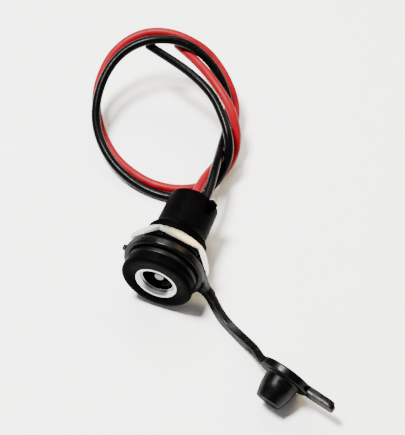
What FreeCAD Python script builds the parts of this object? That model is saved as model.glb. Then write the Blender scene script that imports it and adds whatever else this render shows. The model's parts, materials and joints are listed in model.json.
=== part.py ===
"""Panel-mount DC power jack with hex nut, seal, tethered dust cap and two soldered leads.

Millimetres, +Z up, lying on a table as it comes to rest. The jack's axis is the Y axis, with the
socket's mouth towards -Y, and y = 0 is the back face of its flange, where a panel would lie.
"""
import FreeCAD, Part
import math
import os

V = FreeCAD.Vector

# Fits
SLIP = 0.05
SOLDER_GAP = 0.02

# How far a cutter or a joined piece reaches past the face that it cuts or joins
OVERLAP = 1.0

# Flange, thread and rear skirt of the moulded housing
FLANGE_RIM = 1.05
FLANGE_T = 2.0
FLANGE_ROUND = 0.6
FLANGE_BACK_ROUND = 0.1
THREAD_R = 5.95
THREAD_LENGTH = 9.2
THREAD_LEAD_IN = 0.5
SKIRT_R = 5.05
SKIRT_END_R = 4.9
SKIRT_ROUND = 0.2
BODY_LENGTH = 17.5

# Socket for a 5.5 mm plug with a 2.1 mm pin
SOCKET_R = 3.25
SOCKET_DEPTH = 10.0
REAR_BORE_R = 4.1
RING_R = 4.1
RING_T = 1.1
RING_LEAD_IN = 0.12
RING_ROUND = 0.08
PIN_R = 1.05
PIN_TIP_DEPTH = 1.4
PIN_TIP_ROUND = 0.5
PIN_COLLAR_R = 1.5
PIN_COLLAR_T = 0.6
PIN_SHANK_R = 0.9
PIN_RIVET_R = 0.65
PIN_RIVET_LENGTH = 0.8
PIN_RIVET_ROUND = 0.15

# Insulating core that carries the pin, and the lugs behind it
CORE_SHARE = 0.442
CORE_EDGE = 0.2
LUG_T = 0.3
LUG_WIDTH = 1.1
LUG_END_GAP = 0.1
PIN_LUG_R = 1.3

# Sleeve contact, a sprung strip in a channel of the socket's wall
CONTACT_ANGLE = -68.0
CONTACT_WIDTH = 2.0
CONTACT_T = 0.3
CONTACT_SEAT_R = 3.32
CONTACT_CREST_R = 2.7
CONTACT_CREST_ROUND = 0.6
CONTACT_TIP_R = 3.05
CONTACT_CREST_DEPTH = 2.9
CONTACT_TIP_DEPTH = 1.9
CONTACT_BEND_DEPTH = 6.0
CONTACT_BEND_ROUND = 1.0
FOOT_OVERLAP = 0.1
CHANNEL_GAP = 0.15

# Rear cover with two latch lugs in slots of the skirt
COVER_T = 1.5
COVER_ROUND = 0.15
LATCH_ANGLE = 37.8
LATCH_WIDTH = 1.6
LATCH_R = 5.75
LATCH_LENGTH = 1.1
LATCH_INSET = 0.4
LATCH_RAMP = 0.35
LATCH_ROUND = 0.1
LATCH_SLOT_LENGTH = 3.2

# Seal ring and hex nut
SEAL_T = 1.3
SEAL_ROUND = 0.35
NUT_WALL = 1.05
NUT_T = 1.85
NUT_FRONT_Y = 4.45
NUT_CORNER_ANGLE = 41.8
NUT_CHAMFER_INSET = 0.05
NUT_CHAMFER_ANGLE = 35.0
NUT_BORE_CHAMFER = 0.3

# Dust cap: retaining ring, strap, disc, plug and pull tab in one piece of rubber
CAP_RING_WIDTH = 1.95
CAP_RING_T = 1.8
CAP_RING_ROUND = 0.45
NUB_ANGLE = 165.0
NUB_LENGTH = 0.6
NUB_WIDTH = 0.95
NUB_T = 0.9
NUB_ROUND = 0.3
NUB_ROOT = 0.8
STRAP_WIDTH = 2.0
STRAP_T = 1.05
STRAP_EDGE = 0.15
STRAP_SECTIONS = 12
STRAP_ANGLE = -29.5
STRAP_OVERLAP = 0.2
STRAP_UNTWIST_END = 0.5
STRAP_TWIST_START = 0.6
RING_FILLET = 1.5
ROOT_DEPTH = 0.6
DISC_R = 5.0
DISC_T = 1.6
DISC_ROUND = 0.25
DISC_X = 28.4
DISC_Y = -10.5
DISC_HEADING = -17.0
DISC_LEAN = 18.0
DISC_ROLL = 2.0
DISC_FILLET = 0.8
PLUG_ROOT_R = 3.35
PLUG_ROOT_ROUND = 0.3
PLUG_BELLY_R = 3.12
PLUG_BELLY_SHARE = 0.5
PLUG_BELLY_ROUND = 4.0
PLUG_END_R = 2.45
PLUG_LENGTH = 4.9
PLUG_END_ROUND = 0.35
TAB_LENGTH = 5.7
TAB_WIDTH = 2.1
TAB_T = 1.04
TAB_END_ROUND = 0.8
TAB_TWIST = 12.0
TAB_DROOP = 4.0
TAB_SAG = 0.3

# Two insulated leads, soldered to the lugs inside heat-shrink sleeves
LEAD_R = 0.9
CONDUCTOR_R = 0.45
LEAD_INSIDE = 0.8
SOLDER_R = 0.9
SOLDER_SHARE = 0.6
RIVET_GAP = 0.2
SHRINK_T = 0.18

# Share of a lead's shorter run that each arc between two runs may take
ARC_SHARE = 0.45

# Sizes and places that follow from the sizes above
FLANGE_R = THREAD_R + FLANGE_RIM
CAP_RING_R = THREAD_R + CAP_RING_WIDTH
NUB_R = CAP_RING_R + NUB_LENGTH
NUT_FLATS = 2.0 * (THREAD_R + NUT_WALL)
MOUTH_Y = -FLANGE_T
SOCKET_FLOOR_Y = MOUTH_Y + SOCKET_DEPTH
CORE_BACK_Y = SOCKET_FLOOR_Y + CORE_SHARE * (BODY_LENGTH - SOCKET_FLOOR_Y)
COVER_FRONT_Y = BODY_LENGTH - COVER_T
LEAD_START_Y = COVER_FRONT_Y - LEAD_INSIDE
LUG_END_Y = LEAD_START_Y - LUG_END_GAP
STRIPPED_Y = CORE_BACK_Y + PIN_RIVET_LENGTH + RIVET_GAP
JOINT_OFFSET = (LUG_T + SOLDER_GAP) / 2.0
CAP_RING_Y = SEAL_T
NUT_CORNER_R = NUT_FLATS / math.sqrt(3.0)
NUT_CORNERS = [NUT_CORNER_ANGLE + 60.0 * corner for corner in range(6)]
TABLE_Z = min(NUT_CORNER_R * math.sin(math.radians(angle)) for angle in NUT_CORNERS)

# Where the strap lies between the ring and the disc, as (x, y, height over its lowest place)
STRAP_ROUTE = [(11.2, 0.2, 0.85), (14.6, -2.05, 0.1), (18.4, -4.5, 0.95), (21.2, -6.7, 2.3)]

# Routes of the leads as they lie, chosen by hand; each starts inside the rear cover
BLACK_ROUTE = [
    (1.9, LEAD_START_Y, 1.0), (1.9, 18.3, 1.0), (1.75, 21.6, 1.2), (1.2, 25.1, 1.0),
    (0.5, 28.9, 0.2), (-0.5, 34.0, -1.5), (-1.3, 39.4, -2.1), (-2.3, 43.5, -1.4),
    (-4.1, 46.4, 0.6), (-7.2, 48.9, 3.2), (-11.3, 50.4, 5.5), (-15.6, 50.7, 6.6),
    (-19.8, 49.4, 7.0), (-23.6, 47.3, 6.4), (-26.5, 44.2, 4.8), (-27.9, 40.1, 2.8),
    (-27.9, 35.8, 0.6), (-26.9, 32.0, -1.6), (-24.6, 28.7, -3.7), (-21.1, 25.7, -5.2),
    (-16.9, 23.6, -6.2), (-11.9, 22.4, -7.0), (-6.9, 22.3, -7.0), (-2.8, 24.1, -7.0),
    (0.0, 26.8, -6.1), (1.5, 29.3, -4.0), (1.9, 31.9, -1.1), (0.9, 34.4, 1.4),
    (-1.7, 38.0, 2.7), (-5.3, 41.7, 3.9), (-10.3, 44.5, 4.7), (-16.2, 46.8, 4.9),
    (-22.1, 49.1, 4.5),
]
RED_ROUTE = [
    (-0.5, LEAD_START_Y, 0.2), (-0.5, 18.3, 0.2), (-0.65, 21.6, 0.0), (-0.6, 25.1, -0.7),
    (-0.3, 28.9, -2.1), (-0.1, 33.7, -4.0), (-0.3, 38.6, -5.0), (-0.9, 42.8, -4.7),
    (-1.8, 45.9, -3.0), (-3.7, 48.3, -0.6), (-6.5, 50.4, 1.7), (-10.1, 52.1, 4.0),
    (-14.3, 52.4, 5.8), (-18.6, 52.3, 6.4), (-22.8, 51.3, 6.1), (-26.2, 49.0, 5.0),
    (-28.7, 45.6, 3.0), (-29.6, 41.7, 0.4), (-29.4, 38.2, -2.2), (-27.8, 34.8, -4.4),
    (-25.1, 31.5, -6.2), (-21.1, 28.0, -7.0), (-16.5, 25.6, -7.0), (-11.8, 24.3, -7.0),
    (-7.2, 24.6, -7.0), (-3.4, 26.2, -7.0), (-0.4, 29.2, -7.0), (1.1, 33.2, -6.7),
    (1.8, 36.4, -4.6), (1.0, 38.8, -1.0), (-1.3, 41.3, 2.0), (-4.9, 44.2, 3.4),
    (-9.0, 47.2, 4.0), (-13.2, 49.9, 4.1), (-16.9, 51.9, 3.9),
]


def rounded_corner(before, here, after, radius):
    """Start, middle and end of the arc of this radius that rounds a corner."""
    back = (before - here).normalize()
    ahead = (after - here).normalize()
    half = back.getAngle(ahead) / 2.0
    reach = radius / math.tan(half)
    inward = (back + ahead).normalize()
    middle = here + inward * (radius / math.sin(half) - radius)
    return here + back * reach, middle, here + ahead * reach


def outline(corners, plane):
    """Closed wire through corners (a, b, radius) of a plane given as a function of a and b."""
    points = [plane(corner[0], corner[1]) for corner in corners]
    stops = []
    for index, corner in enumerate(corners):
        here = points[index]
        radius = corner[2]
        if radius > 0.0:
            after = points[(index + 1) % len(points)]
            stops.append(rounded_corner(points[index - 1], here, after, radius))
        else:
            stops.append((here, None, here))
    edges = []
    for index, (start, middle, end) in enumerate(stops):
        last = stops[index - 1][2]
        if last.distanceToPoint(start) > 1e-6:
            edges.append(Part.LineSegment(last, start).toShape())
        if middle is not None:
            edges.append(Part.Arc(start, middle, end).toShape())
    return Part.Wire(edges)


def half_section(radius, along):
    """Point of a half section beside the Y axis."""
    return V(radius, along, 0.0)


def across(x, z):
    """Point of a section square to the Y axis."""
    return V(x, 0.0, z)


def turned(corners):
    """Solid turned about the Y axis from corners (radius, y, corner radius)."""
    face = Part.Face(outline(corners, half_section))
    return face.revolve(V(0, 0, 0), V(0, 1, 0), 360.0)


def ring(outer, inner, start, length):
    """Plain ring or, with no inner radius, a plain disc about the Y axis."""
    solid = Part.makeCylinder(outer, length, V(0, start, 0), V(0, 1, 0))
    if inner > 0.0:
        solid = solid.cut(Part.makeCylinder(inner, length, V(0, start, 0), V(0, 1, 0)))
    return solid


def plate(corners, start, thickness):
    """Plate square to the Y axis, from corners (x, z, radius)."""
    face = Part.Face(outline(corners, across))
    return face.extrude(V(0, thickness, 0)).translated(V(0, start, 0))


def block(x_from, x_to, y_from, y_to, width):
    """Block along a radius: x is the radial way and z the width, before it is turned about Y."""
    return Part.makeBox(x_to - x_from, y_to - y_from, width, V(x_from, y_from, -width / 2.0))


def swung(shape, angle):
    """Turn a shape drawn along +X to an angle from +X towards +Z, about the Y axis."""
    moved = shape.copy()
    moved.rotate(V(0, 0, 0), V(0, -1, 0), angle)
    return moved


def placed(shape, origin, x_axis, y_axis):
    """Move a shape to the frame with this origin and these axes."""
    moved = shape.copy()
    turn = FreeCAD.Rotation(x_axis, y_axis, x_axis.cross(y_axis), "XYZ")
    moved.Placement = FreeCAD.Placement(origin, turn)
    return moved


def latch_slots():
    """The two open slots in the skirt that the cover's lugs sit in."""
    slot = block(REAR_BORE_R - OVERLAP, SKIRT_R + OVERLAP, BODY_LENGTH - LATCH_SLOT_LENGTH,
                 BODY_LENGTH + OVERLAP, LATCH_WIDTH + 2.0 * SLIP)
    return swung(slot, LATCH_ANGLE).fuse(swung(slot, LATCH_ANGLE + 180.0))


def housing():
    """Moulded body: round flange, threaded barrel and rear skirt, bored from both ends."""
    body = turned([
        (SOCKET_R, MOUTH_Y + RING_T, 0.0),
        (RING_R + SLIP, MOUTH_Y + RING_T, 0.0),
        (RING_R + SLIP, MOUTH_Y, 0.0),
        (FLANGE_R, MOUTH_Y, FLANGE_ROUND),
        (FLANGE_R, 0.0, FLANGE_BACK_ROUND),
        (THREAD_R, 0.0, 0.0),
        (THREAD_R, THREAD_LENGTH - THREAD_LEAD_IN, 0.0),
        (THREAD_R - THREAD_LEAD_IN, THREAD_LENGTH, 0.0),
        (SKIRT_R, THREAD_LENGTH, 0.0),
        (SKIRT_END_R, BODY_LENGTH, SKIRT_ROUND),
        (REAR_BORE_R, BODY_LENGTH, 0.0),
        (REAR_BORE_R, SOCKET_FLOOR_Y, 0.0),
        (SOCKET_R, SOCKET_FLOOR_Y, 0.0),
    ])
    channel_r = CONTACT_SEAT_R + CONTACT_T + CHANNEL_GAP
    channel = block(0.0, channel_r, MOUTH_Y + RING_T + CHANNEL_GAP, SOCKET_FLOOR_Y,
                    CONTACT_WIDTH + 2.0 * CHANNEL_GAP)
    return body.cut(swung(channel, CONTACT_ANGLE)).cut(latch_slots())


def front_ring():
    """Nickel-plated ring pressed into the flange round the socket's mouth."""
    return turned([
        (SOCKET_R, MOUTH_Y + RING_LEAD_IN, 0.0),
        (SOCKET_R + RING_LEAD_IN, MOUTH_Y, 0.0),
        (RING_R, MOUTH_Y, RING_ROUND),
        (RING_R, MOUTH_Y + RING_T, 0.0),
        (SOCKET_R, MOUTH_Y + RING_T, 0.0),
    ])


def centre_pin():
    """Turned pin with a rounded tip, a collar sunk in the core and a riveted tail."""
    collar_back = SOCKET_FLOOR_Y + PIN_COLLAR_T
    return turned([
        (0.0, MOUTH_Y + PIN_TIP_DEPTH, 0.0),
        (PIN_R, MOUTH_Y + PIN_TIP_DEPTH, PIN_TIP_ROUND),
        (PIN_R, SOCKET_FLOOR_Y, 0.0),
        (PIN_COLLAR_R, SOCKET_FLOOR_Y, 0.0),
        (PIN_COLLAR_R, collar_back, 0.0),
        (PIN_SHANK_R, collar_back, 0.0),
        (PIN_SHANK_R, CORE_BACK_Y, 0.0),
        (PIN_RIVET_R, CORE_BACK_Y, 0.0),
        (PIN_RIVET_R, CORE_BACK_Y + PIN_RIVET_LENGTH, PIN_RIVET_ROUND),
        (0.0, CORE_BACK_Y + PIN_RIVET_LENGTH, 0.0),
    ])


def core():
    """Insulating plug at the socket's floor, with the pin's hole and the contact's slot."""
    collar_back = SOCKET_FLOOR_Y + PIN_COLLAR_T
    body = turned([
        (PIN_COLLAR_R + SLIP, SOCKET_FLOOR_Y, 0.0),
        (REAR_BORE_R - SLIP, SOCKET_FLOOR_Y, CORE_EDGE),
        (REAR_BORE_R - SLIP, CORE_BACK_Y, CORE_EDGE),
        (PIN_SHANK_R + SLIP, CORE_BACK_Y, 0.0),
        (PIN_SHANK_R + SLIP, collar_back, 0.0),
        (PIN_COLLAR_R + SLIP, collar_back, 0.0),
    ])
    slot = block(CONTACT_SEAT_R - SLIP, REAR_BORE_R + OVERLAP, SOCKET_FLOOR_Y, CORE_BACK_Y,
                 CONTACT_WIDTH + 2.0 * SLIP)
    return body.cut(swung(slot, CONTACT_ANGLE))


def lead_place(route):
    """Where a lead goes through the rear cover, as (x, z)."""
    return route[0][0], route[0][2]


def tail_angle(route, other):
    """Angle of the way from a lead to its lug's tail, away from the other lead."""
    x, z = lead_place(route)
    other_x, other_z = lead_place(other)
    return math.degrees(math.atan2(z - other_z, x - other_x))


def tail_place(route, other, distance):
    """Place at this distance from a lead towards its lug's tail."""
    x, z = lead_place(route)
    way = math.radians(tail_angle(route, other))
    return V(x + distance * math.cos(way), 0.0, z + distance * math.sin(way))


def lug_tail(route, other):
    """Flat tail of a lug, from the core's back to its end beside the conductor."""
    strip = block(0.0, LUG_T, CORE_BACK_Y, LUG_END_Y, LUG_WIDTH)
    near_face = tail_place(route, other, CONDUCTOR_R + SOLDER_GAP)
    return swung(strip, tail_angle(route, other)).translated(near_face)


def pin_lug():
    """Washer riveted on the pin's tail, with a tail bent back to the red lead."""
    washer = ring(PIN_LUG_R, PIN_RIVET_R + SLIP, CORE_BACK_Y, LUG_T)
    return washer.fuse(lug_tail(RED_ROUTE, BLACK_ROUTE)).removeSplitter()


def sleeve_contact():
    """One stamping: sprung strip in the socket, foot on the core's back, tail for the black lead."""
    seat = CONTACT_SEAT_R
    outer = CONTACT_SEAT_R + CONTACT_T
    crest_y = MOUTH_Y + CONTACT_CREST_DEPTH
    tip_y = MOUTH_Y + CONTACT_TIP_DEPTH
    bend_y = MOUTH_Y + CONTACT_BEND_DEPTH
    foot_y = CORE_BACK_Y + LUG_T
    strip_profile = [
        (CONTACT_TIP_R, tip_y, 0.0),
        (CONTACT_TIP_R + CONTACT_T, tip_y, 0.0),
        (CONTACT_CREST_R + CONTACT_T, crest_y, CONTACT_CREST_ROUND - CONTACT_T),
        (outer, bend_y, CONTACT_BEND_ROUND),
        (outer, foot_y, 0.0),
        (seat, foot_y, 0.0),
        (seat, bend_y, CONTACT_BEND_ROUND),
        (CONTACT_CREST_R, crest_y, CONTACT_CREST_ROUND),
    ]
    strip = Part.Face(outline(strip_profile, half_section)).extrude(V(0, 0, CONTACT_WIDTH))
    strip = swung(strip.translated(V(0, 0, -CONTACT_WIDTH / 2.0)), CONTACT_ANGLE)
    way = math.radians(CONTACT_ANGLE)
    foot_from = V(seat * math.cos(way), 0.0, seat * math.sin(way))
    foot_to = tail_place(BLACK_ROUTE, RED_ROUTE, CONDUCTOR_R + SOLDER_GAP + LUG_T / 2.0)
    foot = foot_plate(foot_from, foot_to)
    return strip.fuse([foot, lug_tail(BLACK_ROUTE, RED_ROUTE)]).removeSplitter()


def foot_plate(start, end):
    """Flat foot on the core's back that joins the sprung strip to the lug's tail."""
    run = (end - start).normalize()
    side = V(run.z, 0.0, -run.x) * (LUG_WIDTH / 2.0)
    start = start - run * FOOT_OVERLAP
    end = end + run * (LUG_WIDTH / 2.0)
    corners = [start + side, end + side, end - side, start - side]
    return plate([(corner.x, corner.z, 0.0) for corner in corners], CORE_BACK_Y, LUG_T)


def rear_cover():
    """Moulded cover in the skirt's end, with two latch lugs and a hole for each lead."""
    body = turned([
        (0.0, COVER_FRONT_Y, 0.0),
        (REAR_BORE_R - SLIP, COVER_FRONT_Y, COVER_ROUND),
        (REAR_BORE_R - SLIP, BODY_LENGTH, COVER_ROUND),
        (0.0, BODY_LENGTH, 0.0),
    ])
    lug_back = BODY_LENGTH - LATCH_INSET
    lug_front = lug_back - LATCH_LENGTH
    profile = [
        (REAR_BORE_R - OVERLAP, lug_front, 0.0),
        (LATCH_R - LATCH_RAMP, lug_front, 0.0),
        (LATCH_R, lug_front + LATCH_RAMP, LATCH_ROUND),
        (LATCH_R, lug_back, LATCH_ROUND),
        (REAR_BORE_R - OVERLAP, lug_back, 0.0),
    ]
    lug = Part.Face(outline(profile, half_section)).extrude(V(0, 0, LATCH_WIDTH))
    lug = lug.translated(V(0, 0, -LATCH_WIDTH / 2.0))
    body = body.fuse([swung(lug, LATCH_ANGLE), swung(lug, LATCH_ANGLE + 180.0)])
    for route in (BLACK_ROUTE, RED_ROUTE):
        x, z = lead_place(route)
        hole = Part.makeCylinder(LEAD_R + SLIP, COVER_T + 2.0 * OVERLAP,
                                 V(x, COVER_FRONT_Y - OVERLAP, z), V(0, 1, 0))
        body = body.cut(hole)
    return body.removeSplitter()


def seal_ring():
    """Flat rubber ring between the flange and the cap's ring."""
    return turned([
        (THREAD_R + SLIP, 0.0, 0.0),
        (FLANGE_R, 0.0, SEAL_ROUND),
        (FLANGE_R, SEAL_T, SEAL_ROUND),
        (THREAD_R + SLIP, SEAL_T, 0.0),
    ])


def hex_nut():
    """Thin hexagon nut, flat in front and chamfered at the back."""
    corners = []
    for angle in NUT_CORNERS:
        turn = math.radians(angle)
        corners.append((NUT_CORNER_R * math.cos(turn), NUT_CORNER_R * math.sin(turn), 0.0))
    body = plate(corners, NUT_FRONT_Y, NUT_T)
    back = NUT_FRONT_Y + NUT_T
    slope = math.tan(math.radians(NUT_CHAMFER_ANGLE))
    face_r = NUT_FLATS / 2.0 - NUT_CHAMFER_INSET
    cone_r = NUT_CORNER_R + OVERLAP
    envelope = turned([
        (0.0, NUT_FRONT_Y, 0.0),
        (cone_r, NUT_FRONT_Y, 0.0),
        (cone_r, back - (cone_r - face_r) * slope, 0.0),
        (face_r, back, 0.0),
        (0.0, back, 0.0),
    ])
    bore_r = THREAD_R + SLIP
    bore = turned([
        (0.0, NUT_FRONT_Y, 0.0),
        (bore_r + NUT_BORE_CHAMFER, NUT_FRONT_Y, 0.0),
        (bore_r, NUT_FRONT_Y + NUT_BORE_CHAMFER, 0.0),
        (bore_r, back - NUT_BORE_CHAMFER, 0.0),
        (bore_r + NUT_BORE_CHAMFER, back, 0.0),
        (0.0, back, 0.0),
    ])
    return body.common(envelope).cut(bore)


def strap_root(rim_r, fillet):
    """Plate along +X that spreads from the strap's width onto a round rim, with fillets."""
    half = STRAP_WIDTH / 2.0
    spread = half + fillet
    shoulder = math.sqrt(rim_r ** 2 - spread ** 2)
    inside = shoulder - ROOT_DEPTH
    end = shoulder + fillet + SLIP
    return plate([
        (inside, -spread, 0.0), (shoulder, -spread, 0.0), (shoulder, -half, fillet),
        (end, -half, 0.0), (end, half, 0.0),
        (shoulder, half, fillet), (shoulder, spread, 0.0), (inside, spread, 0.0),
    ], -STRAP_T / 2.0, STRAP_T)


def disc_frame():
    """Centre of the cap's disc, the way to its tab and the way its plug points.

    The disc leans over its plug, held by the strap, with its rim on the table.
    """
    lean = math.radians(DISC_LEAN)
    heading = math.radians(DISC_HEADING)
    level = V(math.cos(heading), math.sin(heading), 0.0)
    plug_way = V(math.sin(heading) * math.cos(lean), -math.cos(heading) * math.cos(lean),
                 -math.sin(lean))
    upward = plug_way.cross(level)
    roll = math.radians(DISC_ROLL)
    tab_way = level * math.cos(roll) + upward * math.sin(roll)
    height = DISC_R * math.cos(lean) + DISC_T / 2.0 * math.sin(lean)
    return V(DISC_X, DISC_Y, TABLE_Z + height), tab_way, plug_way


def strap():
    """Strap from the retaining ring down to the table and up to the disc, lofted."""
    centre, tab_way, plug_way = disc_frame()
    swing = math.radians(STRAP_ANGLE)
    out = V(math.cos(swing), 0.0, math.sin(swing))
    ring_y = CAP_RING_Y + CAP_RING_T - STRAP_T / 2.0
    low = TABLE_Z + STRAP_WIDTH / 2.0
    up = V(0, 0, 1)
    in_ring = V(-out.z, 0, out.x)
    in_disc = plug_way.cross(tab_way)
    points = [V(0, ring_y, 0) + out * (CAP_RING_R + STRAP_OVERLAP)]
    points.extend([V(x, y, low + height) for x, y, height in STRAP_ROUTE])
    rim = centre - tab_way * (DISC_R - STRAP_OVERLAP)
    arrival = (rim - points[-1]).normalize() + tab_way
    points.append(rim)
    route = Part.BSplineCurve()
    route.interpolate(Points=points, InitialTangent=out, FinalTangent=arrival)
    sections = []
    for index, here in enumerate(route.discretize(Number=STRAP_SECTIONS)):
        share = index / (STRAP_SECTIONS - 1.0)
        wide = in_ring * max(0.0, STRAP_UNTWIST_END - share) + up * 0.5
        wide += in_disc * max(0.0, share - STRAP_TWIST_START)
        along = route.tangent(route.parameter(here))[0]
        if index == 0:
            wide = in_ring
        if index == STRAP_SECTIONS - 1:
            wide = in_disc
        thin = along.cross(wide).normalize()
        sections.append(strap_section(here, thin.cross(along), thin))
    return Part.makeLoft(sections, True, False)


def strap_section(centre, wide, thin):
    """Rectangle with small rounded corners, square to the strap."""
    half = STRAP_WIDTH / 2.0
    depth = STRAP_T / 2.0
    corners = [(-half, -depth, STRAP_EDGE), (half, -depth, STRAP_EDGE),
               (half, depth, STRAP_EDGE), (-half, depth, STRAP_EDGE)]
    return outline(corners, lambda a, b: centre + wide * a + thin * b)


def cap_disc():
    """Disc with its plug and pull tab, in its own frame: tab along +X and plug along +Y."""
    half = DISC_T / 2.0
    end = half + PLUG_LENGTH
    body = turned([
        (0.0, -half, 0.0),
        (DISC_R, -half, DISC_ROUND),
        (DISC_R, half, DISC_ROUND),
        (PLUG_ROOT_R, half, PLUG_ROOT_ROUND),
        (PLUG_BELLY_R, half + PLUG_LENGTH * PLUG_BELLY_SHARE, PLUG_BELLY_ROUND),
        (PLUG_END_R, end, PLUG_END_ROUND),
        (0.0, end, 0.0),
    ])
    tip = DISC_R + TAB_LENGTH
    side = TAB_WIDTH / 2.0
    tab = plate([
        (DISC_R - OVERLAP, -side, 0.0), (tip, -side, TAB_END_ROUND),
        (tip, side, TAB_END_ROUND), (DISC_R - OVERLAP, side, 0.0),
    ], half - TAB_T, TAB_T)
    tab.rotate(V(0, 0, 0), V(1, 0, 0), -TAB_TWIST)
    tab.rotate(V(DISC_R, 0, 0), V(0, 1, 0), -TAB_DROOP)
    tab.translate(V(0, 0, TAB_SAG))
    root = strap_root(DISC_R - DISC_ROUND, DISC_FILLET)
    root.rotate(V(0, 0, 0), V(0, 1, 0), 180.0)
    return body.fuse([tab, root])


def dust_cap():
    """One moulded piece: ring behind the flange, nub, strap, disc, plug and pull tab."""
    ring_back = CAP_RING_Y + CAP_RING_T
    body = turned([
        (THREAD_R + SLIP, CAP_RING_Y, 0.0),
        (CAP_RING_R, CAP_RING_Y, CAP_RING_ROUND),
        (CAP_RING_R, ring_back, CAP_RING_ROUND),
        (THREAD_R + SLIP, ring_back, 0.0),
    ])
    nub = plate([
        (CAP_RING_R - NUB_ROOT, -NUB_WIDTH / 2.0, 0.0), (NUB_R, -NUB_WIDTH / 2.0, NUB_ROUND),
        (NUB_R, NUB_WIDTH / 2.0, NUB_ROUND), (CAP_RING_R - NUB_ROOT, NUB_WIDTH / 2.0, 0.0),
    ], ring_back - CAP_RING_ROUND - NUB_T, NUB_T)
    root = strap_root(CAP_RING_R - CAP_RING_ROUND, RING_FILLET)
    root = root.translated(V(0, ring_back - STRAP_T / 2.0, 0))
    centre, tab_way, plug_way = disc_frame()
    disc = placed(cap_disc(), centre, tab_way, plug_way)
    pieces = [swung(nub, NUB_ANGLE), swung(root, STRAP_ANGLE), strap(), disc]
    return body.fuse(pieces).removeSplitter()


def conductor(route):
    """Bare end of a lead's conductor, from its insulation to just clear of the pin's rivet."""
    x, z = lead_place(route)
    length = LEAD_START_Y - STRIPPED_Y
    return Part.makeCylinder(CONDUCTOR_R, length, V(x, STRIPPED_Y, z), V(0, 1, 0))


def solder(route, other):
    """Solder that joins a conductor to the tail of its lug."""
    stripped = LEAD_START_Y - STRIPPED_Y
    length = SOLDER_SHARE * stripped
    joint = ring(SOLDER_R, 0.0, STRIPPED_Y + (stripped - length) / 4.0, length)
    joint = joint.translated(tail_place(route, other, JOINT_OFFSET))
    return joint.cut(conductor(route)).cut(lug_tail(route, other))


def shrink_sleeve(route, other):
    """Heat-shrink sleeve over a soldered joint and the start of its lead's insulation."""
    inner = LEAD_R + JOINT_OFFSET + SLIP
    length = COVER_FRONT_Y - RIVET_GAP - STRIPPED_Y
    sleeve = ring(inner + SHRINK_T, inner, STRIPPED_Y, length)
    return sleeve.translated(tail_place(route, other, JOINT_OFFSET))


def lead(route, name):
    """Insulated lead: straight runs joined by tangent arcs as large as the runs allow."""
    points = [V(*point) for point in route]
    edges = []
    radii = []
    last = points[0]
    for before, here, after in zip(points, points[1:], points[2:]):
        shorter = min(before.distanceToPoint(here), here.distanceToPoint(after))
        turn = (here - before).getAngle(after - here)
        radius = ARC_SHARE * shorter / math.tan(turn / 2.0)
        start, middle, end = rounded_corner(before, here, after, radius)
        edges.append(Part.LineSegment(last, start).toShape())
        edges.append(Part.Arc(start, middle, end).toShape())
        radii.append(round(radius, 1))
        last = end
    edges.append(Part.LineSegment(last, points[-1]).toShape())
    path = Part.Wire(edges)
    section = Part.Face(Part.Wire(Part.makeCircle(LEAD_R, points[0], points[1] - points[0])))
    tube = path.makePipe(section)
    expected = section.Area * path.Length
    print(name, "radii", radii)
    print(name, "length", round(path.Length, 1), "volume", round(tube.Volume, 1),
          "section by length", round(expected, 1))
    return tube


def main():
    os.makedirs("parts", exist_ok=True)
    nodes = {
        "housing": housing(),
        "front_ring": front_ring(),
        "centre_pin": centre_pin(),
        "core": core(),
        "sleeve_contact": sleeve_contact(),
        "pin_lug": pin_lug(),
        "rear_cover": rear_cover(),
        "seal_ring": seal_ring(),
        "hex_nut": hex_nut(),
        "dust_cap": dust_cap(),
        "conductor_black": conductor(BLACK_ROUTE),
        "conductor_red": conductor(RED_ROUTE),
        "solder_black": solder(BLACK_ROUTE, RED_ROUTE),
        "solder_red": solder(RED_ROUTE, BLACK_ROUTE),
        "shrink_sleeve_black": shrink_sleeve(BLACK_ROUTE, RED_ROUTE),
        "shrink_sleeve_red": shrink_sleeve(RED_ROUTE, BLACK_ROUTE),
        "lead_black": lead(BLACK_ROUTE, "lead_black"),
        "lead_red": lead(RED_ROUTE, "lead_red"),
    }
    for name, shape in nodes.items():
        solids = shape.Solids
        print(name, "solids", len(solids), "valid", shape.isValid(), "volume", round(shape.Volume, 2))
        solid = solids[0] if len(solids) == 1 else shape
        solid.exportStep("parts/" + name + ".step")


main()
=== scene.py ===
"""Charging socket with its dust cap and two leads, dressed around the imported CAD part.

Metres, in the part's own frame: the jack's axis is Y, its mouth faces -Y and it lies on a table.
"""
import json
import math

import bpy
from mathutils import Matrix, Vector

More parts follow.
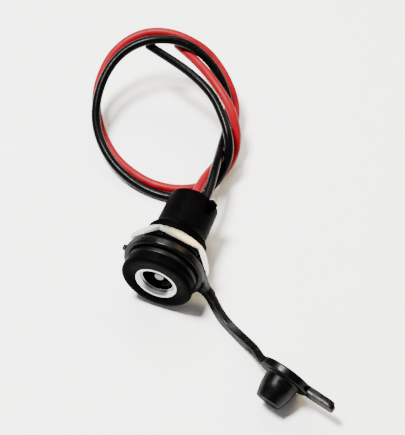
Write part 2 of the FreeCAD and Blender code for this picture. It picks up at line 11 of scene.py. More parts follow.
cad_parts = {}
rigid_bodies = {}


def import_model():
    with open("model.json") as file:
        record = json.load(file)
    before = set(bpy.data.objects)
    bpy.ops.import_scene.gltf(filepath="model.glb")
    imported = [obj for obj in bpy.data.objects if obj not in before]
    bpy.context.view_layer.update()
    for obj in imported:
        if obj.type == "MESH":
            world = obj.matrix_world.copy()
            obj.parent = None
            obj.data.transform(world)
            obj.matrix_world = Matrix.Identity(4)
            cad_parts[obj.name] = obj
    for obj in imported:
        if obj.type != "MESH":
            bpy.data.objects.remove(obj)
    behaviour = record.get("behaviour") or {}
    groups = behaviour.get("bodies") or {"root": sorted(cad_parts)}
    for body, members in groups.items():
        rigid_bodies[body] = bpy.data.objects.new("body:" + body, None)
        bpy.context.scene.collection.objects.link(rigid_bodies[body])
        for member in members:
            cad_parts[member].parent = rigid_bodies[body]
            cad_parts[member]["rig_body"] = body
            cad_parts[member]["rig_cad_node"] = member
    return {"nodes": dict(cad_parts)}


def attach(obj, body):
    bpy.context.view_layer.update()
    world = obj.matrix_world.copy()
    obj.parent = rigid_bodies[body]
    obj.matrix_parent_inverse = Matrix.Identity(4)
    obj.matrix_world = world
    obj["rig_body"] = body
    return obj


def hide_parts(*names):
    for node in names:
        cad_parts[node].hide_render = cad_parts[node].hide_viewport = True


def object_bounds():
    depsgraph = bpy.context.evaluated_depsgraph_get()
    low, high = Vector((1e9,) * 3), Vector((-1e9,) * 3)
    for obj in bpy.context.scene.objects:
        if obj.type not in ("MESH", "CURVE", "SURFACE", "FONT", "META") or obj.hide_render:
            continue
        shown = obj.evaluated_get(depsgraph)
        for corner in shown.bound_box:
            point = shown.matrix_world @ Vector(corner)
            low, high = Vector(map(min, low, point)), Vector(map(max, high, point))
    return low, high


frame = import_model()
CAD_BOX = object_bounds()
NODES = frame["nodes"]
MM = 0.001

# Camera, fitted to the mouth ring's ellipse and the axis in the photograph
IMAGE_WIDTH = 405
FOCAL_PIXELS = 1557.4653
SENSOR_WIDTH = 36.0
CAMERA_AZIMUTH = math.radians(20.9116)
CAMERA_ELEVATION = math.radians(53.2350)
CAMERA_TARGET = Vector((1.83196, 17.37855, -3.0)) * MM
CAMERA_DISTANCE = 300.0 * MM
CLIP_NEAR = 0.01
CLIP_FAR = 20.0

# Thread on the housing's barrel, between the flange and the skirt
THREAD_ROOT_R = 5.42 * MM
THREAD_PITCH = 1.0 * MM
THREAD_START_Y = 2.4 * MM
THREAD_END_Y = 9.6 * MM
GROOVE_WIDTH = 0.86 * MM
GROOVE_REACH_R = 6.15 * MM
THREAD_FLANK = math.radians(30.0)
THREAD_STEPS = 72

# Leads
LEAD_R = 0.9 * MM
LEAD_SIDES = 6
LEAD_CURVE_ORDER = 3
LEAD_CURVE_STEPS = 10
BLACK_ROUTE = [
    (1.9, 15.2, 1.0), (1.9, 18.3, 1.0), (1.75, 21.6, 1.2), (1.2, 25.1, 1.0),
    (0.5, 28.9, 0.2), (-0.5, 34.0, -1.5), (-1.3, 39.4, -2.1), (-2.3, 43.5, -1.4),
    (-4.1, 46.4, 0.6), (-7.2, 48.9, 3.2), (-11.3, 50.4, 5.5), (-15.6, 50.7, 6.6),
    (-19.8, 49.4, 7.0), (-23.6, 47.3, 6.4), (-26.5, 44.2, 4.8), (-27.9, 40.1, 2.8),
    (-27.9, 35.8, 0.6), (-26.9, 32.0, -1.6), (-24.6, 28.7, -3.7), (-21.1, 25.7, -5.2),
    (-16.9, 23.6, -6.2), (-11.9, 22.4, -7.0), (-6.9, 22.3, -7.0), (-2.8, 24.1, -7.0),
    (0.0, 26.8, -6.1), (1.3, 29.3, -4.0), (1.95, 31.9, -1.1), (0.9, 34.4, 1.4),
    (-1.7, 38.0, 2.7), (-5.3, 41.7, 3.9), (-10.3, 44.5, 4.7), (-16.2, 46.8, 4.9),
    (-22.1, 49.1, 4.5),
]
RED_ROUTE = [
    (-0.5, 15.2, 0.2), (-0.5, 18.3, 0.2), (-0.65, 21.6, 0.0), (-0.6, 25.1, -0.7),
    (-0.3, 28.9, -2.1), (-0.1, 33.7, -4.0), (-0.3, 38.6, -5.0), (-0.9, 42.8, -4.7),
    (-1.8, 45.9, -3.0), (-3.7, 48.3, -0.6), (-6.5, 50.4, 1.7), (-10.1, 52.1, 4.0),
    (-14.3, 52.4, 5.8), (-18.6, 52.3, 6.4), (-22.8, 51.3, 6.1), (-26.2, 49.0, 5.0),
    (-28.7, 45.6, 3.0), (-29.6, 41.7, 0.4), (-29.4, 38.2, -2.2), (-27.8, 34.8, -4.4),
    (-25.1, 31.5, -6.2), (-21.1, 28.0, -7.0), (-16.5, 25.6, -7.0), (-11.8, 24.3, -7.0),
    (-7.2, 24.6, -7.0), (-3.4, 26.2, -7.0), (-0.4, 29.2, -7.0), (1.1, 33.2, -6.7),
    (1.8, 36.4, -4.6), (1.0, 38.8, -1.0), (-1.3, 41.3, 2.0), (-4.9, 44.2, 3.4),
    (-9.0, 47.2, 4.0), (-13.2, 49.9, 4.1), (-16.9, 51.9, 3.9),
]

# Copper strands that show at a lead's cut end
STRAND_R = 0.14 * MM
STRAND_SPACING = 0.29 * MM
STRAND_LENGTH = 0.5 * MM
STRAND_PROUD = 0.07 * MM
STRAND_BEVEL = 0.03 * MM
STRAND_SIDES = 14
STRANDS_ROUND = 6
STRAND_TURN = math.radians(13.0)

# Ring pressed into the mouth, as (radius, place along the axis) from the bore round to its back:
# the bore, the slanted lead-in, the flat front, the rim, and a fine lip at the back of the bore
RING_PROFILE = [
    (3.18, -1.02), (3.18, -1.42), (3.55, -1.94), (3.64, -2.0), (4.04, -2.0), (4.1, -1.94),
    (4.1, -0.9), (3.05, -0.9), (3.02, -0.95), (3.05, -1.0),
]
RING_STEPS = 160

# Where the cap's strap leaves its ring, and the frame of its disc
STRAP_WAY = Vector((0.87, 0.0, -0.492))
STRAP_START = STRAP_WAY * 7.4 * MM
DISC_CENTRE = Vector((28.4, -10.5, -2.91)) * MM
TAB_WAY = Vector((0.9526, -0.3025, 0.0332))
PLUG_WAY = Vector((-0.2781, -0.9095, -0.309))
STRAP_END = DISC_CENTRE - TAB_WAY * 4.7 * MM
TAB_START = DISC_CENTRE + TAB_WAY * 4.92 * MM

# How far the strap and the tab are thickened on their backs, and the web above the strap's root
STRAP_SHIFT = Vector((0.2, 0.4, 0.03)) * MM
TAB_SHIFT = (PLUG_WAY * -0.45 - TAB_WAY * 0.4) * MM
WEB_OUTLINE = [(6.9, 0.9), (7.85, 0.9), (8.08, -0.9), (8.32, -2.4), (8.75, -3.6), (9.45, -4.75),
               (9.9, -5.6), (8.9, -5.6), (7.2, -4.3)]
WEB_FRONT_Y = 2.05 * MM
WEB_T = 1.45 * MM

# Soft edges of the moulded rubber and the plated nut
RUBBER_VOXEL = 0.12 * MM
RUBBER_SMOOTHING = 4
RUBBER_SMOOTHING_SHARE = 0.5
NUT_EDGE = 0.09 * MM
NUT_FLAT_ANGLE = math.radians(0.6)
NUT_SHARP_ANGLE = math.radians(28.0)
EDGE_STEPS = 2
MERGE_DISTANCE = 0.002 * MM

# Angles up to which neighbouring faces are shaded as one smooth surface
BODY_SMOOTH_ANGLE = math.radians(32.0)
NUT_SMOOTH_ANGLE = math.radians(24.0)
RING_SMOOTH_ANGLE = math.radians(30.0)
STRAND_SMOOTH_ANGLE = math.radians(40.0)

# Noise: the values that most of it lies between, its levels of detail, and where its tones change
NOISE_LOW = 0.35
NOISE_HIGH = 0.65
DETAIL = 3.0
FINE_DETAIL = 2.0
SCUFF_DETAIL = 4.0
BLOOM_DETAIL = 5.0
TONE_LOW = 0.3
TONE_HIGH = 0.7
BLOOM_LOW = 0.28
BLOOM_START = 0.55
BLOOM_HIGH = 0.8

# Features of each finish: their sizes, then bumps as (height, strength), then the spread of roughness
PLASTIC_CLOUD = 3.0 * MM
PLASTIC_GRAIN = 0.14 * MM
PLASTIC_DULLING = 0.8 * MM
PLASTIC_WAVES = 1.5 * MM
PLASTIC_GRAIN_BUMP = (0.02 * MM, 0.5)
PLASTIC_WAVE_BUMP = (0.02 * MM, 0.25)
PLASTIC_ROUGH_SPREAD = (-0.06, 0.08)
METAL_CLOUD = 1.6 * MM
METAL_MARKS = 0.25 * MM
METAL_WAVES = 1.2 * MM
METAL_MARK_BUMP = (0.003 * MM, 0.3)
METAL_WAVE_BUMP = (0.006 * MM, 0.2)
METAL_ROUGH_SPREAD = (-0.03, 0.06)
TURNED_STRETCH = (0.05, 1.0, 0.05)
BRUSHED_STRETCH = (0.3, 1.0, 0.3)
RUBBER_BLOOM = 2.2 * MM
RUBBER_PORES = 0.16 * MM
RUBBER_DULLING = 1.1 * MM
RUBBER_WAVES = 1.9 * MM
RUBBER_PORE_BUMP = (0.012 * MM, 0.35)
RUBBER_WAVE_BUMP = (0.05 * MM, 0.3)
RUBBER_ROUGH_SPREAD = (-0.05, 0.1)
INSULATION_TONE = 4.0 * MM
INSULATION_SCUFFS = 0.35 * MM
INSULATION_WAVES = 2.6 * MM
INSULATION_SCUFF_BUMP = (0.01 * MM, 0.3)
INSULATION_WAVE_BUMP = (0.12 * MM, 0.35)
INSULATION_ROUGH_SPREAD = (-0.04, 0.12)

# How much of the light the skins of the black and red pieces mirror, face on and at their edges,
# and how far a surface has turned away (0 face on, 1 edge on) where that starts and stops fading
PLASTIC_SPECULAR = 0.0035
RUBBER_SPECULAR = 0.09
RUBBER_EDGE_SPECULAR = 0.001
SHEEN_START = 0.4
SHEEN_END = 0.75
BLACK_SPECULAR = 0.045
RED_SPECULAR = 0.08

# Colours and roughness of the black and red skins
DEEP_BLACK = (0.0006, 0.0006, 0.0007)
SOFT_BLACK = (0.0013, 0.0013, 0.0013)
RED_SKIN = (0.135, 0.00015, 0.003)
BRIGHT_RED_SKIN = (0.19, 0.0005, 0.0065)
PLASTIC_ROUGHNESS = 0.36
RUBBER_ROUGHNESS = 0.27
BLACK_ROUGHNESS = 0.22
RED_ROUGHNESS = 0.4

# Table
TABLE_SIZE = 3.0
TABLE_DARK = (0.89, 0.89, 0.89)
TABLE_LIGHT = (0.91, 0.91, 0.91)
TABLE_ROUGHNESS = 0.6
TABLE_CLOUD = 6.0 * MM

# Light
LIGHT_TARGET = Vector((0.0, 0.01, 0.0))
KEY_PLACE = Vector((-0.15, -0.025, 0.52))
KEY_SIZE = 0.12
KEY_POWER = 13.8
KEY_COLOUR = (1.0, 0.99, 0.97)
CARD_PLACE = Vector((0.215, 0.28, 0.355))
CARD_SIZE = 0.2
CARD_POWER = 1.3
CARD_COLOUR = (1.0, 0.78, 0.38)
BACK_PLACE = Vector((-0.12, 0.29, 0.41))
BACK_SIZE = 0.22
BACK_POWER = 2.4
BACK_COLOUR = (1.0, 1.0, 1.0)
AIR_COLOUR = (1.0, 1.0, 1.0, 1.0)
AIR_STRENGTH = 0.29


def deselect():
    """Leave nothing selected and nothing active."""
    bpy.ops.object.select_all(action="DESELECT")
    bpy.context.view_layer.objects.active = None


def select(piece):
    """Make one piece the only selected object and the active one."""
    deselect()
    piece.select_set(True)
    bpy.context.view_layer.objects.active = piece


def edit(piece):
    """Enter edit mode on a piece with everything selected."""
    select(piece)
    bpy.ops.object.mode_set(mode="EDIT")
    bpy.ops.mesh.select_all(action="SELECT")


def leave_edit():
    """Return to object mode."""
    bpy.ops.object.mode_set(mode="OBJECT")


def apply_modifier(piece, kind, **settings):
    """Add a modifier with these settings to a piece and apply it."""
    select(piece)
    modifier = piece.modifiers.new(kind.title(), kind)
    for name, value in settings.items():
        setattr(modifier, name, value)
    bpy.ops.object.modifier_apply(modifier=modifier.name)


def smooth(piece, angle):
    """Shade a piece smooth across edges flatter than this angle."""
    select(piece)
    bpy.ops.object.shade_smooth_by_angle(angle=angle)


def copied(node, name):
    """Merged copy of a CAD node's mesh, as the start of the piece that replaces it."""
    piece = NODES[node].copy()
    piece.data = NODES[node].data.copy()
    piece.name = name
    piece.data.name = name
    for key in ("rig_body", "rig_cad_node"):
        if key in piece:
            del piece[key]
    piece.parent = None
    bpy.context.scene.collection.objects.link(piece)
    edit(piece)
    bpy.ops.mesh.remove_doubles(threshold=MERGE_DISTANCE)
    leave_edit()
    return piece


def finish_piece(piece, material, slot, *nodes):
    """Give a piece its material and body, and let it stand for CAD nodes; the slot is not used."""
    piece.data.materials.clear()
    piece.data.materials.append(material)
    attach(piece, "root")
    if nodes:
        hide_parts(*nodes)


# Materials


class Shader:
    """A material's node tree, with short calls for the nodes that a finish is built from."""

    def __init__(self, name, colour, roughness, **sockets):
        self.material = bpy.data.materials.new(name)
        self.material.use_nodes = True
        self.tree = self.material.node_tree
        self.surface = self.tree.nodes["Principled BSDF"]
        self.surface.inputs["Base Color"].default_value = (*colour, 1.0)
        self.surface.inputs["Roughness"].default_value = roughness
        for label, value in sockets.items():
            self.surface.inputs[label.replace("_", " ")].default_value = value
        self.place = self.tree.nodes.new("ShaderNodeTexCoord").outputs["Object"]

    def link(self, output, socket):
        """Lead a node's output into a socket."""
        self.tree.links.new(output, socket)

    def stretched(self, scale):
        """Object coordinates scaled along each axis."""
        mapping = self.tree.nodes.new("ShaderNodeMapping")
        mapping.inputs["Scale"].default_value = scale
        self.link(self.place, mapping.inputs["Vector"])
        return mapping.outputs["Vector"]

    def noise(self, size, detail=DETAIL, place=None):
        """Noise whose features are about this size in metres."""
        noise = self.tree.nodes.new("ShaderNodeTexNoise")
        noise.inputs["Scale"].default_value = 1.0 / size
        noise.inputs["Detail"].default_value = detail
        self.link(place or self.place, noise.inputs["Vector"])
        return noise.outputs["Fac"]

    def spread(self, value, low, high, start=NOISE_LOW, end=NOISE_HIGH):
        """Value between start and end, spread from low to high."""
        reach = self.tree.nodes.new("ShaderNodeMapRange")
        reach.inputs["From Min"].default_value = start
        reach.inputs["From Max"].default_value = end
        reach.inputs["To Min"].default_value = low
        reach.inputs["To Max"].default_value = high
        self.link(value, reach.inputs["Value"])
        return reach.outputs["Result"]

    def colours(self, value, stops):
        """Colour ramp on a value, with stops (position, colour)."""
        ramp = self.tree.nodes.new("ShaderNodeValToRGB")
        ramp.color_ramp.elements[0].position = stops[0][0]
        ramp.color_ramp.elements[0].color = (*stops[0][1], 1.0)
        ramp.color_ramp.elements[1].position = stops[-1][0]
        ramp.color_ramp.elements[1].color = (*stops[-1][1], 1.0)
        for position, colour in stops[1:-1]:
            ramp.color_ramp.elements.new(position).color = (*colour, 1.0)
        self.link(value, ramp.inputs["Fac"])
        self.link(ramp.outputs["Color"], self.surface.inputs["Base Color"])

    def rough(self, value, middle, spread):
        """Roughness that follows a value, by a spread (less, more) around its middle."""
        level = self.spread(value, middle + spread[0], middle + spread[1])
        self.link(level, self.surface.inputs["Roughness"])

    def sheen(self, face_on, grazing):
        """Specular level that falls from one value face on to another at a grazing angle."""
        weight = self.tree.nodes.new("ShaderNodeLayerWeight")
        level = self.spread(weight.outputs["Facing"], face_on, grazing, SHEEN_START, SHEEN_END)
        self.link(level, self.surface.inputs["Specular IOR Level"])

    def bumps(self, *layers):
        """Bumps stacked on each other, from layers (value, height in metres, strength)."""
        below = None
        for value, height, strength in layers:
            bump = self.tree.nodes.new("ShaderNodeBump")
            bump.inputs["Distance"].default_value = height
            bump.inputs["Strength"].default_value = strength
            self.link(value, bump.inputs["Height"])
            if below is not None:
                self.link(below, bump.inputs["Normal"])
            below = bump.outputs["Normal"]
        self.link(below, self.surface.inputs["Normal"])


def moulded_plastic(name, dark, light, roughness):
    """Matte moulded plastic: fine spark-eroded grain and slow changes of tone."""
    shader = Shader(name, dark, roughness, Specular_IOR_Level=PLASTIC_SPECULAR)
    shader.colours(shader.noise(PLASTIC_CLOUD), [(TONE_LOW, dark), (TONE_HIGH, light)])
    shader.rough(shader.noise(PLASTIC_DULLING), roughness, PLASTIC_ROUGH_SPREAD)
    shader.bumps((shader.noise(PLASTIC_GRAIN, FINE_DETAIL), *PLASTIC_GRAIN_BUMP),
                 (shader.noise(PLASTIC_WAVES), *PLASTIC_WAVE_BUMP))
    return shader.material


def plated_metal(name, dark, light, roughness, stretch=BRUSHED_STRETCH):
    """Bright plated metal with faint lathe or brush marks and a little dulling."""
    shader = Shader(name, light, roughness, Metallic=1.0)
    marks = shader.noise(METAL_MARKS, FINE_DETAIL, shader.stretched(stretch))
    shader.colours(shader.noise(METAL_CLOUD), [(TONE_LOW, dark), (TONE_HIGH, light)])
    shader.rough(marks, roughness, METAL_ROUGH_SPREAD)
    shader.bumps((marks, *METAL_MARK_BUMP), (shader.noise(METAL_WAVES), *METAL_WAVE_BUMP))
    return shader.material


def rubber(name, dark, light, roughness):
    """Smooth moulded rubber: soft bloom, pores and a slightly uneven skin."""
    shader = Shader(name, dark, roughness)
    shader.sheen(RUBBER_SPECULAR, RUBBER_EDGE_SPECULAR)
    bloom = shader.noise(RUBBER_BLOOM, BLOOM_DETAIL)
    shader.colours(bloom, [(BLOOM_LOW, dark), (BLOOM_START, dark), (BLOOM_HIGH, light)])
    shader.rough(shader.noise(RUBBER_DULLING), roughness, RUBBER_ROUGH_SPREAD)
    shader.bumps((shader.noise(RUBBER_PORES, FINE_DETAIL), *RUBBER_PORE_BUMP),
                 (shader.noise(RUBBER_WAVES), *RUBBER_WAVE_BUMP))
    return shader.material


def insulation(name, dark, light, roughness, specular):
    """Soft extruded insulation: glossy skin with faint waves and small scuffs."""
    shader = Shader(name, dark, roughness, Specular_IOR_Level=specular)
    scuffs = shader.noise(INSULATION_SCUFFS, SCUFF_DETAIL)
    shader.colours(shader.noise(INSULATION_TONE), [(TONE_LOW, dark), (TONE_HIGH, light)])
    shader.rough(scuffs, roughness, INSULATION_ROUGH_SPREAD)
    shader.bumps((scuffs, *INSULATION_SCUFF_BUMP),
                 (shader.noise(INSULATION_WAVES, FINE_DETAIL), *INSULATION_WAVE_BUMP))
    return shader.material


BODY_PLASTIC = moulded_plastic("moulded_black", DEEP_BLACK, SOFT_BLACK, PLASTIC_ROUGHNESS)
CORE_PLASTIC = moulded_plastic("core_black", DEEP_BLACK, SOFT_BLACK, PLASTIC_ROUGHNESS)
NICKEL = plated_metal("nickel_plate", dark=(0.46, 0.445, 0.395),
                      light=(0.54, 0.525, 0.47), roughness=0.26)
DULL_NICKEL = plated_metal("dull_nickel", dark=(0.14, 0.137, 0.13),
                           light=(0.2, 0.196, 0.187), roughness=0.42)
TURNED_NICKEL = plated_metal("turned_nickel", dark=(0.46, 0.455, 0.44),
                             light=(0.54, 0.535, 0.52), roughness=0.28,
                             stretch=TURNED_STRETCH)
BRONZE = plated_metal("sprung_bronze", dark=(0.62, 0.42, 0.22),
                      light=(0.76, 0.55, 0.31), roughness=0.26)
COPPER = plated_metal("copper_strand", dark=(0.68, 0.36, 0.22),
                      light=(0.84, 0.5, 0.34), roughness=0.3)
SOLDER = plated_metal("dull_solder", dark=(0.5, 0.5, 0.52),
                      light=(0.64, 0.64, 0.66), roughness=0.36)
SEAL_RUBBER = rubber("seal_rubber", DEEP_BLACK, SOFT_BLACK, PLASTIC_ROUGHNESS)
CAP_RUBBER = rubber("cap_rubber", DEEP_BLACK, SOFT_BLACK, RUBBER_ROUGHNESS)
BLACK_SLEEVE = rubber("shrunk_black", dark=(0.003, 0.003, 0.003),
                      light=(0.006, 0.006, 0.006), roughness=0.5)
RED_SLEEVE = rubber("shrunk_red", dark=(0.3, 0.006, 0.008),
                    light=(0.38, 0.01, 0.012), roughness=0.5)
BLACK_INSULATION = insulation("black_insulation", DEEP_BLACK, SOFT_BLACK, BLACK_ROUGHNESS,
                              BLACK_SPECULAR)
RED_INSULATION = insulation("red_insulation", RED_SKIN, BRIGHT_RED_SKIN, RED_ROUGHNESS,
                            RED_SPECULAR)

CAD_FINISHES = {
    "centre_pin": (DULL_NICKEL, "nickel"),
    "core": (CORE_PLASTIC, "core_plastic"),
    "sleeve_contact": (DULL_NICKEL, "nickel"),
    "pin_lug": (BRONZE, "bronze"),
    "rear_cover": (BODY_PLASTIC, "black_plastic"),
    "conductor_black": (COPPER, "copper"),
    "conductor_red": (COPPER, "copper"),
    "solder_black": (SOLDER, "solder"),
    "solder_red": (SOLDER, "solder"),
    "shrink_sleeve_black": (BLACK_SLEEVE, "black_sleeve"),
    "shrink_sleeve_red": (RED_SLEEVE, "red_sleeve"),
}


# Pieces


def lead(name, route, material, slot, node):
    """Insulated lead as one smooth curve through its route, cut off flush at its far end."""
    curve = bpy.data.curves.new(name, "CURVE")
    curve.dimensions = "3D"
    spline = curve.splines.new("NURBS")
    spline.points.add(len(route) - 1)
    for point, place in zip(spline.points, route):
        point.co = (*(Vector(place) * MM), 1.0)
    spline.order_u = LEAD_CURVE_ORDER
    spline.use_endpoint_u = True
    spline.resolution_u = LEAD_CURVE_STEPS
    curve.bevel_depth = LEAD_R
    curve.bevel_resolution = LEAD_SIDES
    curve.use_fill_caps = True
    piece = bpy.data.objects.new(name, curve)
    bpy.context.scene.collection.objects.link(piece)
    finish_piece(piece, material, slot, node)
    end = strands(name + "_strands", route)


def strands(name, route):
    """Copper strands, one in the middle and the rest round it, just proud of a lead's cut end."""
    tip = Vector(route[-1]) * MM
    along = (Vector(route[-1]) - Vector(route[-2])).normalized()
    turn = along.to_track_quat("Z", "Y")
    places = [Vector((0.0, 0.0, 0.0))]
    for number in range(STRANDS_ROUND):
        swing = math.tau * number / STRANDS_ROUND + STRAND_TURN
        places.append(Vector((math.cos(swing), math.sin(swing), 0.0)) * STRAND_SPACING)
    deselect()
    made = []
    for place in places:
        middle = tip + turn @ place + along * (STRAND_PROUD - STRAND_LENGTH / 2.0)
        bpy.ops.mesh.primitive_cylinder_add(vertices=STRAND_SIDES, radius=STRAND_R, depth=STRAND_LENGTH,
                                            location=middle, rotation=turn.to_euler())
        made.append(bpy.context.active_object)
    for one in made:
        one.select_set(True)
    bpy.context.view_layer.objects.active = made[0]
    bpy.ops.object.join()
    piece = bpy.context.active_object
    piece.name = name
    bpy.ops.object.transform_apply(location=True, rotation=True, scale=True)
    apply_modifier(piece, "BEVEL", width=STRAND_BEVEL, segments=EDGE_STEPS, limit_method="ANGLE")
    smooth(piece, STRAND_SMOOTH_ANGLE)
    finish_piece(piece, COPPER, "copper")
    return piece


def thread_groove():
    """Helical cutter for the thread, one trapezium turned about the jack's axis."""
    slant = (GROOVE_REACH_R - THREAD_ROOT_R) * math.tan(THREAD_FLANK)
    floor_share = 1.0 - 2.0 * slant / GROOVE_WIDTH
    middle_r = (GROOVE_REACH_R + THREAD_ROOT_R) / 2.0
    deselect()
    bpy.ops.mesh.primitive_plane_add(size=1.0)
    cutter = bpy.context.active_object
    cutter.scale = (GROOVE_REACH_R - THREAD_ROOT_R, GROOVE_WIDTH, 1.0)
    cutter.location = (middle_r, THREAD_START_Y, 0.0)
    bpy.ops.object.transform_apply(location=True, rotation=True, scale=True)
    edit(cutter)
    bpy.ops.mesh.delete(type="ONLY_FACE")
    leave_edit()
    for point in cutter.data.vertices:
        point.select = point.co.x < middle_r
    bpy.ops.object.mode_set(mode="EDIT")
    bpy.ops.transform.resize(value=(1.0, floor_share, 1.0))
    leave_edit()
    turns = round((THREAD_END_Y - THREAD_START_Y) / THREAD_PITCH)
    apply_modifier(cutter, "SCREW", axis="Y", angle=math.tau, screw_offset=THREAD_PITCH,
                   iterations=turns, steps=THREAD_STEPS, render_steps=THREAD_STEPS,
                   use_merge_vertices=True, merge_threshold=MERGE_DISTANCE)
    edit(cutter)
    bpy.ops.mesh.select_all(action="DESELECT")
    bpy.ops.mesh.select_mode(type="EDGE")
    bpy.ops.mesh.select_non_manifold()
    bpy.ops.mesh.edge_face_add()
    bpy.ops.mesh.select_all(action="SELECT")
    bpy.ops.mesh.normals_make_consistent(inside=False)
    leave_edit()
    return cutter


def threaded_housing():
    """Moulded body with the helical thread cut into its barrel."""
    body = copied("housing", "threaded_housing")
    cutter = thread_groove()
    apply_modifier(body, "BOOLEAN", operation="DIFFERENCE", solver="EXACT", object=cutter)
    bpy.data.objects.remove(cutter)
    smooth(body, BODY_SMOOTH_ANGLE)
    finish_piece(body, BODY_PLASTIC, "black_plastic", "housing")


def plated_nut():
    """Hexagon nut with its sharp edges eased as plating leaves them."""
    nut = copied("hex_nut", "plated_hex_nut")
    edit(nut)
    bpy.ops.mesh.dissolve_limited(angle_limit=NUT_FLAT_ANGLE)
    leave_edit()
    apply_modifier(nut, "BEVEL", width=NUT_EDGE, segments=EDGE_STEPS, limit_method="ANGLE",
                   angle_limit=NUT_SHARP_ANGLE, use_clamp_overlap=True)
    smooth(nut, NUT_SMOOTH_ANGLE)
    finish_piece(nut, NICKEL, "nickel", "hex_nut")


def mouth_ring():
    """Turned ring of the socket's mouth, a circle drawn out round its profile and joined up."""
    radius, along = RING_PROFILE[0]
    deselect()
    bpy.ops.mesh.primitive_circle_add(vertices=RING_STEPS, radius=radius * MM,
                                      location=(0.0, along * MM, 0.0),
                                      rotation=(math.pi / 2.0, 0.0, 0.0))
    piece = bpy.context.active_object
    piece.name = "mouth_ring"
    bpy.ops.object.transform_apply(location=True, rotation=True, scale=True)
    edit(piece)
    bpy.ops.mesh.select_mode(type="EDGE")
    for next_radius, next_along in RING_PROFILE[1:]:
        step = (0.0, (next_along - along) * MM, 0.0)
        bpy.ops.mesh.extrude_region_move(TRANSFORM_OT_translate={"value": step})
        swell = next_radius / radius
        bpy.ops.transform.resize(value=(swell, 1.0, swell),
                                 center_override=(0.0, next_along * MM, 0.0))
        radius, along = next_radius, next_along
    bpy.ops.mesh.select_all(action="DESELECT")
    bpy.ops.mesh.select_non_manifold()
    bpy.ops.mesh.bridge_edge_loops()
    bpy.ops.mesh.select_all(action="SELECT")
    bpy.ops.mesh.normals_make_consistent(inside=False)
    leave_edit()
    smooth(piece, RING_SMOOTH_ANGLE)
    finish_piece(piece, TURNED_NICKEL, "nickel", "front_ring")


def thickening(cap, shift, *cuts):
    """Copy of the part of the cap between cuts (place, way that is cut off), moved a little."""
    extra = cap.copy()
    extra.data = cap.data.copy()
    bpy.context.scene.collection.objects.link(extra)
    for place, way in cuts:
        edit(extra)
        bpy.ops.mesh.bisect(plane_co=place, plane_no=way, use_fill=True, clear_outer=True)
        leave_edit()
    select(extra)
    extra.location = extra.location + shift
    bpy.ops.object.transform_apply(location=True, rotation=True, scale=True)
    return extra


def root_web():
    """Web that runs from the ring's side down onto the strap's root."""
    mesh = bpy.data.meshes.new("root_web")
    corners = [(x * MM, WEB_FRONT_Y, z * MM) for x, z in WEB_OUTLINE]
    mesh.from_pydata(corners, [], [range(len(corners))])
    web = bpy.data.objects.new("root_web", mesh)
    bpy.context.scene.collection.objects.link(web)
    edit(web)
    bpy.ops.mesh.extrude_region_move(TRANSFORM_OT_translate={"value": (0.0, WEB_T, 0.0)})
    bpy.ops.mesh.select_all(action="SELECT")
    bpy.ops.mesh.normals_make_consistent(inside=False)
    leave_edit()
    return web


def keep_outer_skin(piece):
    """Delete the pinhead voids that are closed in inside a remeshed piece."""
    outermost = max(piece.data.vertices, key=lambda point: point.co.x).index
    edit(piece)
    bpy.ops.mesh.select_mode(type="VERT")
    bpy.ops.mesh.select_all(action="DESELECT")
    leave_edit()
    piece.data.vertices[outermost].select = True
    bpy.ops.object.mode_set(mode="EDIT")
    bpy.ops.mesh.select_linked()
    bpy.ops.mesh.select_all(action="INVERT")
    bpy.ops.mesh.delete(type="VERT")
    leave_edit()


def softened(piece, material, slot, node):
    """Remesh a moulded rubber piece so that its edges and joins are rounded as in the mould."""
    apply_modifier(piece, "REMESH", mode="VOXEL", voxel_size=RUBBER_VOXEL)
    keep_outer_skin(piece)
    apply_modifier(piece, "SMOOTH", factor=RUBBER_SMOOTHING_SHARE,
                   iterations=RUBBER_SMOOTHING)
    select(piece)
    bpy.ops.object.shade_smooth()
    finish_piece(piece, material, slot, node)


def rubber_seal():
    """Seal ring between the flange and the cap's ring."""
    softened(copied("seal_ring", "soft_seal_ring"), SEAL_RUBBER, "seal_rubber", "seal_ring")


def rubber_cap():
    """Dust cap in one soft moulding, with the full thickness of its strap and pull tab."""
    cap = copied("dust_cap", "rubber_dust_cap")
    parts = [
        thickening(cap, STRAP_SHIFT, (STRAP_START, -STRAP_WAY), (STRAP_END, TAB_WAY)),
        thickening(cap, TAB_SHIFT, (TAB_START, -TAB_WAY)),
        root_web(),
    ]
    select(cap)
    for part in parts:
        part.select_set(True)
    bpy.ops.object.join()
    softened(cap, CAP_RUBBER, "cap_rubber", "dust_cap")


# Room


def table_top():
    """Pale table under the part."""
    low = CAD_BOX[0][2]
    deselect()
    bpy.ops.mesh.primitive_plane_add(size=TABLE_SIZE, location=(0.0, 0.0, low))
    table = bpy.context.active_object
    table.name = "table_top"
    bpy.ops.object.transform_apply(location=True, rotation=True, scale=True)
    shader = Shader("pale_table", TABLE_LIGHT, TABLE_ROUGHNESS)
    shader.colours(shader.noise(TABLE_CLOUD), [(TONE_LOW, TABLE_DARK), (TONE_HIGH, TABLE_LIGHT)])
    table.data.materials.append(shader.material)


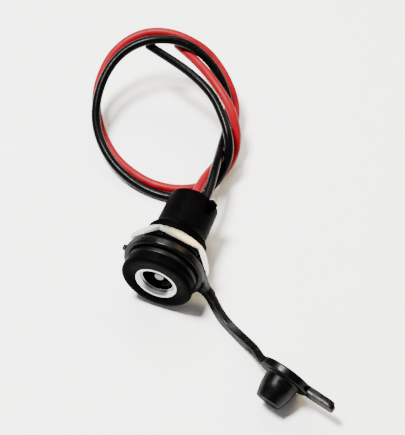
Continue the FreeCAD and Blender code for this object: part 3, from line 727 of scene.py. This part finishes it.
def softbox(name, place, size, power, colour):
    """Square area light at a place, aimed at the socket."""
    light = bpy.data.lights.new(name, "AREA")
    light.shape = "SQUARE"
    light.size = size
    light.energy = power
    light.color = colour
    lamp = bpy.data.objects.new(name, light)
    lamp.location = place
    lamp.rotation_euler = (LIGHT_TARGET - place).to_track_quat("-Z", "Y").to_euler()
    bpy.context.scene.collection.objects.link(lamp)


def lights():
    """Soft studio light: a key high on the left, a warm card and a white one behind, and pale air."""
    softbox("left_key", KEY_PLACE, KEY_SIZE, KEY_POWER, KEY_COLOUR)
    softbox("warm_card", CARD_PLACE, CARD_SIZE, CARD_POWER, CARD_COLOUR)
    softbox("back_card", BACK_PLACE, BACK_SIZE, BACK_POWER, BACK_COLOUR)
    world = bpy.data.worlds.new("pale_air")
    world.use_nodes = True
    background = world.node_tree.nodes["Background"]
    background.inputs["Color"].default_value = AIR_COLOUR
    background.inputs["Strength"].default_value = AIR_STRENGTH
    bpy.context.scene.world = world


def camera():
    """Camera at the photograph's viewing angle."""
    back = Vector((math.sin(CAMERA_AZIMUTH) * math.cos(CAMERA_ELEVATION),
                   -math.cos(CAMERA_AZIMUTH) * math.cos(CAMERA_ELEVATION),
                   math.sin(CAMERA_ELEVATION)))
    right = Vector((math.cos(CAMERA_AZIMUTH), math.sin(CAMERA_AZIMUTH), 0.0))
    up = back.cross(right)
    lens = bpy.data.cameras.new("portrait_camera")
    lens.sensor_fit = "HORIZONTAL"
    lens.sensor_width = SENSOR_WIDTH
    lens.lens = FOCAL_PIXELS / IMAGE_WIDTH * SENSOR_WIDTH
    lens.clip_start = CLIP_NEAR
    lens.clip_end = CLIP_FAR
    view = bpy.data.objects.new("portrait_camera", lens)
    view.matrix_world = Matrix.Translation(CAMERA_TARGET + back * CAMERA_DISTANCE) @ Matrix(
        (right, up, back)).transposed().to_4x4()
    bpy.context.scene.collection.objects.link(view)
    bpy.context.scene.camera = view


deselect()
camera()
table_top()
lights()
lead("lead_black_insulated", BLACK_ROUTE, BLACK_INSULATION,
     "black_insulation", "lead_black")
lead("lead_red_insulated", RED_ROUTE, RED_INSULATION,
     "red_insulation", "lead_red")
threaded_housing()
plated_nut()
mouth_ring()
rubber_seal()
rubber_cap()
for node, (finish, finish_slot) in CAD_FINISHES.items():
    NODES[node].data.materials.clear()
    NODES[node].data.materials.append(finish)
deselect()
